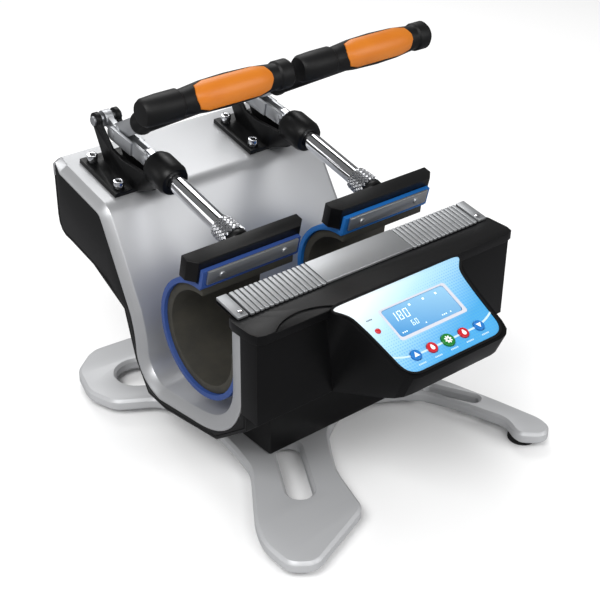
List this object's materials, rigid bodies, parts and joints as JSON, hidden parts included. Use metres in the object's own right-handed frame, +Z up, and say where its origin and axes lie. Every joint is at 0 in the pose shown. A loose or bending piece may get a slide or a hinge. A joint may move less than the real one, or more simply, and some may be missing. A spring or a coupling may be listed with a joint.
{
  "type": "mug heat press",
  "caption": "Twin mug heat press with toggle levers, sliding clamp bars, wrap-round heater mats, a tilted deck and a sloped control panel.",
  "frame": {"origin": "middle of the bounding box seen from above, on the surface that the rubber feet rest on", "axes": "+Z up; the control panel faces -Y; the two mug stations lie side by side along X, with +X to the right of a user who stands in front"},
  "size_m": [0.3088, 0.4074, 0.3552],
  "materials": {
    "satin_silver_paint": "satin",
    "black_paint": "satin",
    "black_column": "satin black paint",
    "black_plastic": "fine texture",
    "black_iron": "satin",
    "black_rubber": "matte",
    "chrome_plate": "polished",
    "satin_steel": "satin",
    "orange_plastic": "satin",
    "blue_silicone": "satin",
    "dark_silicone": "matte",
    "panel_film": "printed film",
    "screen_lens": "clear over a blue display",
    "circuit_board": "lacquered",
    "blue_button": "gloss",
    "red_button": "gloss",
    "green_button": "gloss"
  },
  "bodies": {
    "press": {"base_plate": "satin_silver_paint", "foot_pad_1": "black_rubber", "foot_pad_2": "black_rubber", "foot_pad_3": "black_rubber", "foot_pad_4": "black_rubber", "support_column": "black_column", "trough_shell": "satin_silver_paint", "rear_casing": "black_paint", "side_cover_left": "black_paint", "side_cover_right": "black_paint", "control_box": "black_plastic", "box_lid": "black_plastic", "ribbed_bar": "satin_steel", "mains_inlet": "black_plastic", "switch_bezel": "black_plastic", "control_panel": "panel_film", "screen": "screen_lens", "control_board": "circuit_board", "toggle_base_left": "black_iron", "plate_screw_1_left": "chrome_plate", "plate_screw_2_left": "chrome_plate", "plate_screw_3_left": "chrome_plate", "plate_screw_4_left": "chrome_plate", "front_strip_left": "satin_steel", "heater_mat_left": "blue_silicone", "mat_liner_left": "dark_silicone", "toggle_base_right": "black_iron", "plate_screw_1_right": "chrome_plate", "plate_screw_2_right": "chrome_plate", "plate_screw_3_right": "chrome_plate", "plate_screw_4_right": "chrome_plate", "front_strip_right": "satin_steel", "heater_mat_right": "blue_silicone", "mat_liner_right": "dark_silicone"},
    "lever_left": {"lever_left": "satin_steel", "lever_sleeve_left": "black_rubber", "grip_left": "black_rubber", "grip_inlay_left": "orange_plastic"},
    "link_left": {"link_left": "satin_steel"},
    "plunger_left": {"plunger_left": "chrome_plate", "lock_ring_left": "black_iron", "clamp_bar_left": "black_iron", "clamp_strip_left": "satin_steel"},
    "adjuster_left": {"adjuster_left": "chrome_plate"},
    "lever_right": {"lever_right": "satin_steel", "lever_sleeve_right": "black_rubber", "grip_right": "black_rubber", "grip_inlay_right": "orange_plastic"},
    "link_right": {"link_right": "satin_steel"},
    "plunger_right": {"plunger_right": "chrome_plate", "lock_ring_right": "black_iron", "clamp_bar_right": "black_iron", "clamp_strip_right": "satin_steel"},
    "adjuster_right": {"adjuster_right": "chrome_plate"},
    "button_1": {"button_1": "blue_button"},
    "button_2": {"button_2": "red_button"},
    "button_3": {"button_3": "green_button"},
    "button_4": {"button_4": "red_button"},
    "button_5": {"button_5": "blue_button"},
    "switch_rocker": {"switch_rocker": "red_button"}
  },
  "joints": [
    {"name": "lever_left_swing", "type": "hinge", "parent": "press", "child": "lever_left", "pos_m": [-0.07123, 0.1822, 0.25422], "axis": [-1, 0, 0], "range_deg": [0, 110]},
    {"name": "link_left_pivot", "type": "hinge", "parent": "lever_left", "child": "link_left", "pos_m": [-0.07123, 0.16338, 0.24679], "axis": [-1, 0, 0], "range_deg": [-136.5, 0]},
    {"name": "plunger_left_slide", "type": "slide", "parent": "press", "child": "plunger_left", "axis": [0, 0.9744, 0.225], "range_m": [0, 0.0275], "deforming": ["heater_mat_left", "mat_liner_left"]},
    {"name": "adjuster_left_turn", "type": "hinge", "parent": "plunger_left", "child": "adjuster_left", "pos_m": [-0.07123, -0.0015, 0.21283], "axis": [0, 0.9744, 0.225], "continuous": true},
    {"name": "lever_right_swing", "type": "hinge", "parent": "press", "child": "lever_right", "pos_m": [0.07877, 0.1822, 0.25422], "axis": [-1, 0, 0], "range_deg": [0, 110]},
    {"name": "link_right_pivot", "type": "hinge", "parent": "lever_right", "child": "link_right", "pos_m": [0.07877, 0.16338, 0.24679], "axis": [-1, 0, 0], "range_deg": [-136.5, 0]},
    {"name": "plunger_right_slide", "type": "slide", "parent": "press", "child": "plunger_right", "axis": [0, 0.9744, 0.225], "range_m": [0, 0.0275], "deforming": ["heater_mat_right", "mat_liner_right"]},
    {"name": "adjuster_right_turn", "type": "hinge", "parent": "plunger_right", "child": "adjuster_right", "pos_m": [0.07877, -0.0015, 0.21283], "axis": [0, 0.9744, 0.225], "continuous": true},
    {"name": "button_1_press", "type": "slide", "parent": "press", "child": "button_1", "axis": [0, 0.3971, -0.9178], "range_m": [0, 0.001], "stiffness_N_per_m": 400, "springref_m": -0.0005},
    {"name": "button_2_press", "type": "slide", "parent": "press", "child": "button_2", "axis": [0, 0.3971, -0.9178], "range_m": [0, 0.001], "stiffness_N_per_m": 400, "springref_m": -0.0005},
    {"name": "button_3_press", "type": "slide", "parent": "press", "child": "button_3", "axis": [0, 0.3971, -0.9178], "range_m": [0, 0.001], "stiffness_N_per_m": 400, "springref_m": -0.0005},
    {"name": "button_4_press", "type": "slide", "parent": "press", "child": "button_4", "axis": [0, 0.3971, -0.9178], "range_m": [0, 0.001], "stiffness_N_per_m": 400, "springref_m": -0.0005},
    {"name": "button_5_press", "type": "slide", "parent": "press", "child": "button_5", "axis": [0, 0.3971, -0.9178], "range_m": [0, 0.001], "stiffness_N_per_m": 400, "springref_m": -0.0005},
    {"name": "switch_rock", "type": "hinge", "parent": "press", "child": "switch_rocker", "pos_m": [0.02177, 0.19725, 0.186], "axis": [1, 0, 0], "range_deg": [-7, 7]}
  ],
  "couplings": [
    {"joint": "link_left_pivot", "follows": "lever_left_swing", "ratio": -1.237},
    {"joint": "plunger_left_slide", "follows": "lever_left_swing", "m_per_rad": 0.014298},
    {"joint": "link_right_pivot", "follows": "lever_right_swing", "ratio": -1.237},
    {"joint": "plunger_right_slide", "follows": "lever_right_swing", "m_per_rad": 0.014298}
  ]
}
